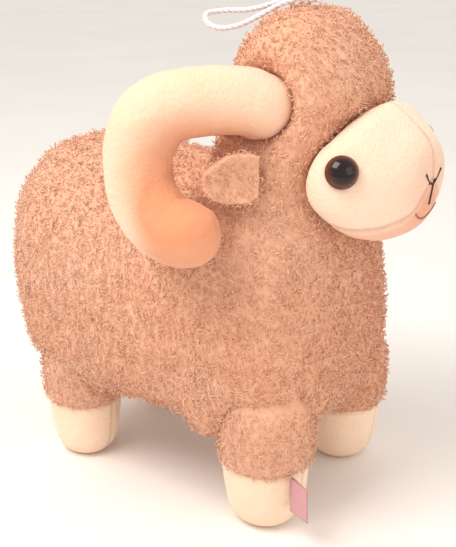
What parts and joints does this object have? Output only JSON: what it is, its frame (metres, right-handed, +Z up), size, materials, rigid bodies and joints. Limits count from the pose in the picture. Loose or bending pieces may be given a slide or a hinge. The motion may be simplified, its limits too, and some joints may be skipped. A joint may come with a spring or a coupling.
{
  "type": "stuffed toy ram",
  "caption": "Standing stuffed ram in short curly fleece, with a smooth face, smooth feet, thick curled horns, dome eyes and a cord loop on the crown.",
  "frame": {"origin": "centre of the object's footprint on the surface it stands on, without the cord loop", "axes": "+X forward out of the muzzle, +Y to the ram's left, +Z up"},
  "size_m": [0.2213, 0.18, 0.2348],
  "materials": {
    "fleece": "short curly pile",
    "cream_plush": "smooth short pile",
    "chin_plush": "smooth short pile",
    "polyester_filling": "loose fibre",
    "eye_gloss": "polished dome",
    "washer_plastic": "moulded",
    "dark_thread": "embroidery thread",
    "satin_cord": "satin cord",
    "label_tape": "folded satin tape"
  },
  "bodies": {
    "torso": {"side_panel_right": "fleece", "side_panel_left": "fleece", "belly_gusset": "fleece", "crown_gusset": "fleece", "body_filling": "polyester_filling", "face_right": "cream_plush", "face_left": "cream_plush", "chin_gusset": "chin_plush", "muzzle_filling": "polyester_filling", "eye_right": "eye_gloss", "eye_left": "eye_gloss", "eye_washer_right": "washer_plastic", "eye_washer_left": "washer_plastic", "nose_stitching": "dark_thread", "mouth_stitching": "dark_thread", "cord_knot": "satin_cord"},
    "right_horn": {"horn_front_right": "cream_plush", "horn_back_right": "cream_plush", "horn_filling_right": "polyester_filling"},
    "left_horn": {"horn_front_left": "cream_plush", "horn_back_left": "cream_plush", "horn_filling_left": "polyester_filling"},
    "right_ear": {"ear_outer_right": "fleece", "ear_inner_right": "fleece"},
    "left_ear": {"ear_outer_left": "fleece", "ear_inner_left": "fleece"},
    "tail": {"tail": "fleece"},
    "hanging_loop": {"hang_cord": "satin_cord"},
    "label": {"care_label": "label_tape"},
    "front_right_leg": {"front_leg_sleeve_right": "fleece", "front_foot_right": "cream_plush", "front_leg_filling_right": "polyester_filling"},
    "front_left_leg": {"front_leg_sleeve_left": "fleece", "front_foot_left": "cream_plush", "front_leg_filling_left": "polyester_filling"},
    "hind_right_leg": {"hind_leg_sleeve_right": "fleece", "hind_foot_right": "cream_plush", "hind_leg_filling_right": "polyester_filling"},
    "hind_left_leg": {"hind_leg_sleeve_left": "fleece", "hind_foot_left": "cream_plush", "hind_leg_filling_left": "polyester_filling"}
  },
  "joints": [
    {"name": "front_right_leg_swing", "type": "hinge", "parent": "torso", "child": "front_right_leg", "pos_m": [0.05354, -0.037, 0.055], "axis": [0, 1, 0], "range_deg": [-12, 12], "stiffness_Nm_per_rad": 0.6},
    {"name": "hind_right_leg_swing", "type": "hinge", "parent": "torso", "child": "hind_right_leg", "pos_m": [-0.05815, -0.034, 0.055], "axis": [0, 1, 0], "range_deg": [-12, 12], "stiffness_Nm_per_rad": 0.6},
    {"name": "right_horn_lean", "type": "hinge", "parent": "torso", "child": "right_horn", "pos_m": [0.04804, -0.036, 0.19173], "axis": [-1, 0, 0], "range_deg": [-3, 8], "stiffness_Nm_per_rad": 0.4},
    {"name": "right_ear_swing", "type": "hinge", "parent": "torso", "child": "right_ear", "pos_m": [0.05497, -0.0482, 0.16581], "axis": [0, 0, 1], "range_deg": [-10, 5], "stiffness_Nm_per_rad": 0.02},
    {"name": "front_left_leg_swing", "type": "hinge", "parent": "torso", "child": "front_left_leg", "pos_m": [0.05354, 0.037, 0.055], "axis": [0, 1, 0], "range_deg": [-12, 12], "stiffness_Nm_per_rad": 0.6},
    {"name": "hind_left_leg_swing", "type": "hinge", "parent": "torso", "child": "hind_left_leg", "pos_m": [-0.05815, 0.034, 0.055], "axis": [0, 1, 0], "range_deg": [-12, 12], "stiffness_Nm_per_rad": 0.6},
    {"name": "left_horn_lean", "type": "hinge", "parent": "torso", "child": "left_horn", "pos_m": [0.04804, 0.036, 0.19173], "axis": [1, 0, 0], "range_deg": [-3, 8], "stiffness_Nm_per_rad": 0.4},
    {"name": "left_ear_swing", "type": "hinge", "parent": "torso", "child": "left_ear", "pos_m": [0.05497, 0.0482, 0.16581], "axis": [0, 0, -1], "range_deg": [-10, 5], "stiffness_Nm_per_rad": 0.02},
    {"name": "tail_lift", "type": "hinge", "parent": "torso", "child": "tail", "pos_m": [-0.1013, 0, 0.11988], "axis": [0, 1, 0], "range_deg": [0, 30], "stiffness_Nm_per_rad": 0.02},
    {"name": "loop_lift", "type": "hinge", "parent": "torso", "child": "hanging_loop", "pos_m": [0.05134, 0, 0.2316], "axis": [-0.4384, 0.8988, 0], "range_deg": [0, 90]},
    {"name": "label_flap", "type": "hinge", "parent": "front_right_leg", "child": "label", "pos_m": [0.07257, -0.04587, 0.014], "axis": [0, 0, 1], "range_deg": [-50, 50], "stiffness_Nm_per_rad": 0.002}
  ]
}
